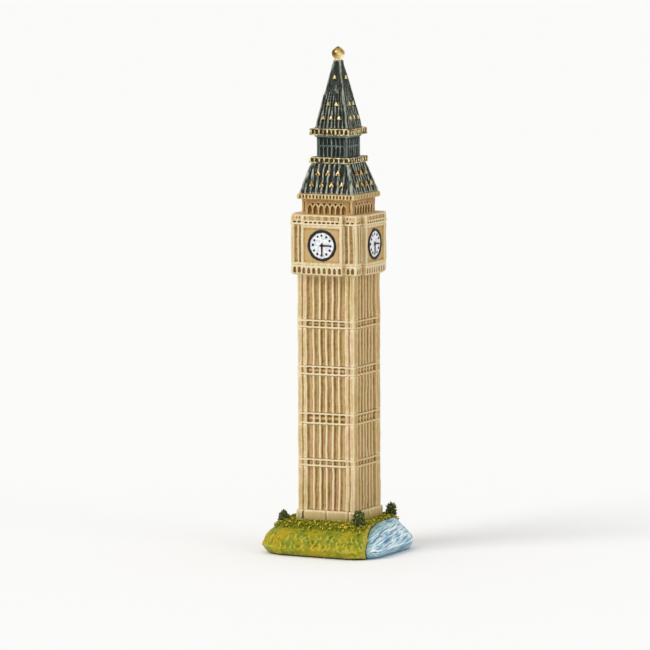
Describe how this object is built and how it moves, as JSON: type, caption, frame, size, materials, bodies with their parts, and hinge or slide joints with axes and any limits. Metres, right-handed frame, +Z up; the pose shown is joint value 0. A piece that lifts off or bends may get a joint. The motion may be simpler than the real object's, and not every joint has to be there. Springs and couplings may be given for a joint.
{
  "type": "miniature clock tower",
  "caption": "Miniature Gothic clock tower souvenir in painted resin, cream with a dark green roof, on a grassy mound beside a strip of river.",
  "frame": {"origin": "on the tower's axis at the flat underside of the mound", "axes": "+Z up the tower, -Y towards the front, +X towards the river"},
  "size_m": [0.0264, 0.0257, 0.1],
  "materials": {
    "stone_paint": "cast polyresin, cream paint with a brown wash",
    "roof_paint": "cast polyresin, dark green paint, dry-brushed",
    "gold_paint": "gold paint on cast polyresin",
    "grass_paint": "mossy green paint, hand applied",
    "water_paint": "pale blue paint with white streaks, semi-gloss",
    "foliage_paint": "dark green paint, stippled",
    "dial_white": "white paint",
    "dial_black": "black paint"
  },
  "bodies": {
    "root": {"belfry": "stone_paint", "clock_body": "stone_paint", "clock_parapet": "stone_paint", "corbel_course": "stone_paint", "dial_back": "dial_white", "dial_bay_back": "stone_paint", "dial_bay_front": "stone_paint", "dial_bay_left": "stone_paint", "dial_bay_right": "stone_paint", "dial_front": "dial_white", "dial_left": "dial_white", "dial_right": "dial_white", "dial_ring_back": "dial_black", "dial_ring_front": "dial_black", "dial_ring_left": "dial_black", "dial_ring_right": "dial_black", "eaves_cornice": "stone_paint", "finial": "gold_paint", "hour_hand_back": "dial_black", "hour_hand_front": "dial_black", "hour_hand_left": "dial_black", "hour_hand_right": "dial_black", "hour_marks_back": "dial_black", "hour_marks_front": "dial_black", "hour_marks_left": "dial_black", "hour_marks_right": "dial_black", "lantern": "roof_paint", "lower_gallery": "gold_paint", "lower_roof": "roof_paint", "lower_roof_gablets": "gold_paint", "minute_hand_back": "dial_black", "minute_hand_front": "dial_black", "minute_hand_left": "dial_black", "minute_hand_right": "dial_black", "mound": "grass_paint", "plinth": "stone_paint", "river": "water_paint", "shaft_tier_1": "stone_paint", "shaft_tier_2": "stone_paint", "shaft_tier_3": "stone_paint", "shaft_tier_4": "stone_paint", "shaft_tier_5": "stone_paint", "shrub_back_left": "foliage_paint", "shrub_back_right": "foliage_paint", "shrub_front_left": "foliage_paint", "shrub_front_right": "foliage_paint", "spire": "roof_paint", "spire_gablets": "gold_paint", "string_course_1": "stone_paint", "string_course_2": "stone_paint", "string_course_3": "stone_paint", "string_course_4": "stone_paint", "upper_gallery": "gold_paint"}
  },
  "joints": []
}
